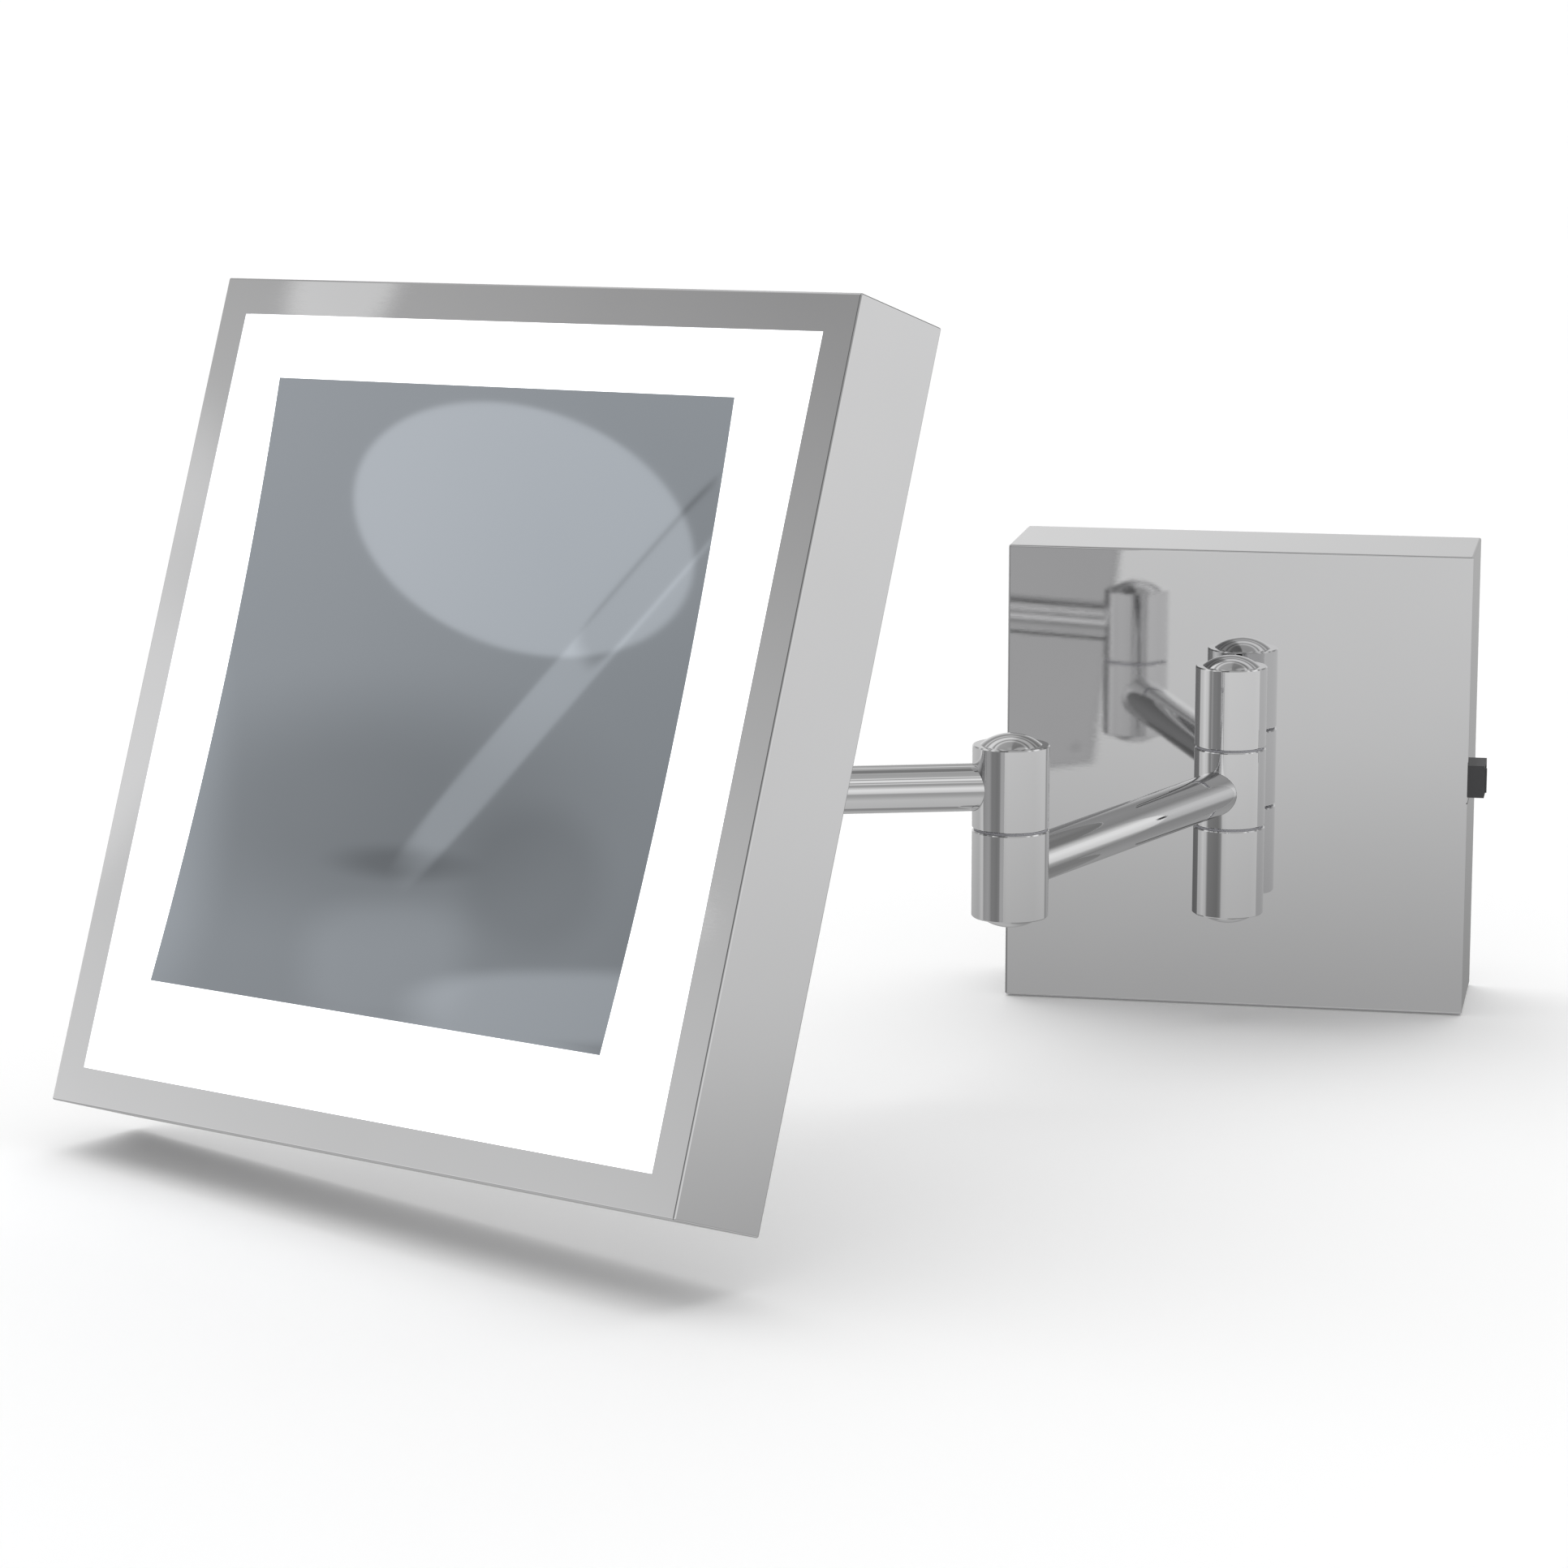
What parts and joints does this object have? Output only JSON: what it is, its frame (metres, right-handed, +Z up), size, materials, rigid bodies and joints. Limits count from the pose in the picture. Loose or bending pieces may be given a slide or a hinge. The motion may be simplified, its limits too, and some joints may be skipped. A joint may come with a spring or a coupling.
{
  "type": "wall-mounted lighted make-up mirror",
  "caption": "Square lit make-up mirror on a double folding arm, with a chromed square wall plate, knuckle swivels, a tilting and levelling head and a rocker switch.",
  "frame": {"origin": "centre of the wall bracket's back face, on the wall", "axes": "+Z up, +X to the right seen from the front, the mirror stands out from the wall towards -Y"},
  "size_m": [0.3394, 0.3506, 0.2186],
  "materials": {
    "chrome": "polished chrome plate",
    "zinc_steel": "zinc-plated",
    "brass": "plain turned",
    "nylon": "moulded nylon",
    "black_plastic": "fine-textured moulding",
    "white_plastic": "matt moulding",
    "circuit_board": "solder-mask green",
    "led": "white board with lamps",
    "lead": "PVC sheath",
    "frosted": "frosted and lit",
    "mirror": "silvered glass"
  },
  "bodies": {
    "wall_unit": {"wall_bracket": "zinc_steel", "wall_cover": "chrome", "cover_screws": "zinc_steel", "wall_posts": "chrome", "post_nuts": "zinc_steel", "post_stiffener": "zinc_steel", "driver_case": "white_plastic", "driver_lid": "white_plastic", "driver_board": "circuit_board", "driver_screws": "zinc_steel", "terminal_block": "white_plastic", "switch_housing": "black_plastic", "switch_terminals": "brass", "wall_barrel_lower": "chrome", "wall_barrel_upper": "chrome", "wall_knuckle_caps": "chrome", "wall_washers": "nylon", "wall_pivot_tube": "brass"},
    "rocker": {"switch_rocker": "black_plastic"},
    "inner_arm": {"inner_arm_hub": "chrome", "wall_bushes": "nylon", "inner_arm_tube": "chrome", "inner_arm_lead": "lead", "elbow_barrel_lower": "chrome", "elbow_cap_lower": "chrome", "elbow_washer": "nylon", "elbow_pivot_tube": "brass", "elbow_clip": "zinc_steel"},
    "outer_arm": {"elbow_barrel_upper": "chrome", "elbow_bushes": "nylon", "elbow_cap_upper": "chrome", "outer_arm_tube": "chrome", "outer_arm_lead": "lead", "head_barrel_lower": "chrome", "head_cap_lower": "chrome", "head_washer": "nylon", "head_pivot_tube": "brass", "head_clip": "zinc_steel"},
    "neck": {"neck_barrel": "chrome", "neck_bush": "nylon", "neck_cap": "chrome", "neck_tube": "chrome", "tilt_fork": "chrome", "tilt_screw": "chrome", "tilt_nut": "chrome"},
    "lug": {"tilt_lug": "chrome", "tilt_washers": "nylon", "lug_face_washer": "nylon", "lug_wave_washer": "zinc_steel", "lug_nut": "zinc_steel"},
    "head": {"head_frame": "chrome", "corner_blocks": "zinc_steel", "back_screws": "zinc_steel", "back_cover": "chrome", "pivot_plate": "zinc_steel", "diffuser": "frosted", "mirror_glass": "mirror", "mirror_carrier": "white_plastic", "light_tray": "white_plastic", "led_strips": "led"}
  },
  "joints": [
    {"name": "wall_swivel", "type": "hinge", "parent": "wall_unit", "child": "inner_arm", "pos_m": [0, -0.0535, 0], "axis": [0, 0, 1], "range_deg": [-69, 110]},
    {"name": "elbow_swivel", "type": "hinge", "parent": "inner_arm", "child": "outer_arm", "pos_m": [-0.04339, -0.16833, 0], "axis": [0, 0, -1], "range_deg": [-100, 60]},
    {"name": "head_swivel", "type": "hinge", "parent": "outer_arm", "child": "neck", "pos_m": [-0.12245, -0.19325, 0], "axis": [0, 0, 1], "range_deg": [-60, 60]},
    {"name": "head_tilt", "type": "hinge", "parent": "neck", "child": "lug", "pos_m": [-0.14681, -0.23274, 0.03848], "axis": [0.8511, -0.525, 0], "range_deg": [-30, 50]},
    {"name": "head_level", "type": "hinge", "parent": "lug", "child": "head", "pos_m": [-0.14681, -0.23274, 0.03848], "axis": [0.4934, 0.7998, -0.342], "range_deg": [-7, 12]},
    {"name": "switch_rock", "type": "hinge", "parent": "wall_unit", "child": "rocker", "pos_m": [0.0651, -0.0314, 0.00165], "axis": [0, 0, 1], "range_deg": [-24, 0]}
  ]
}
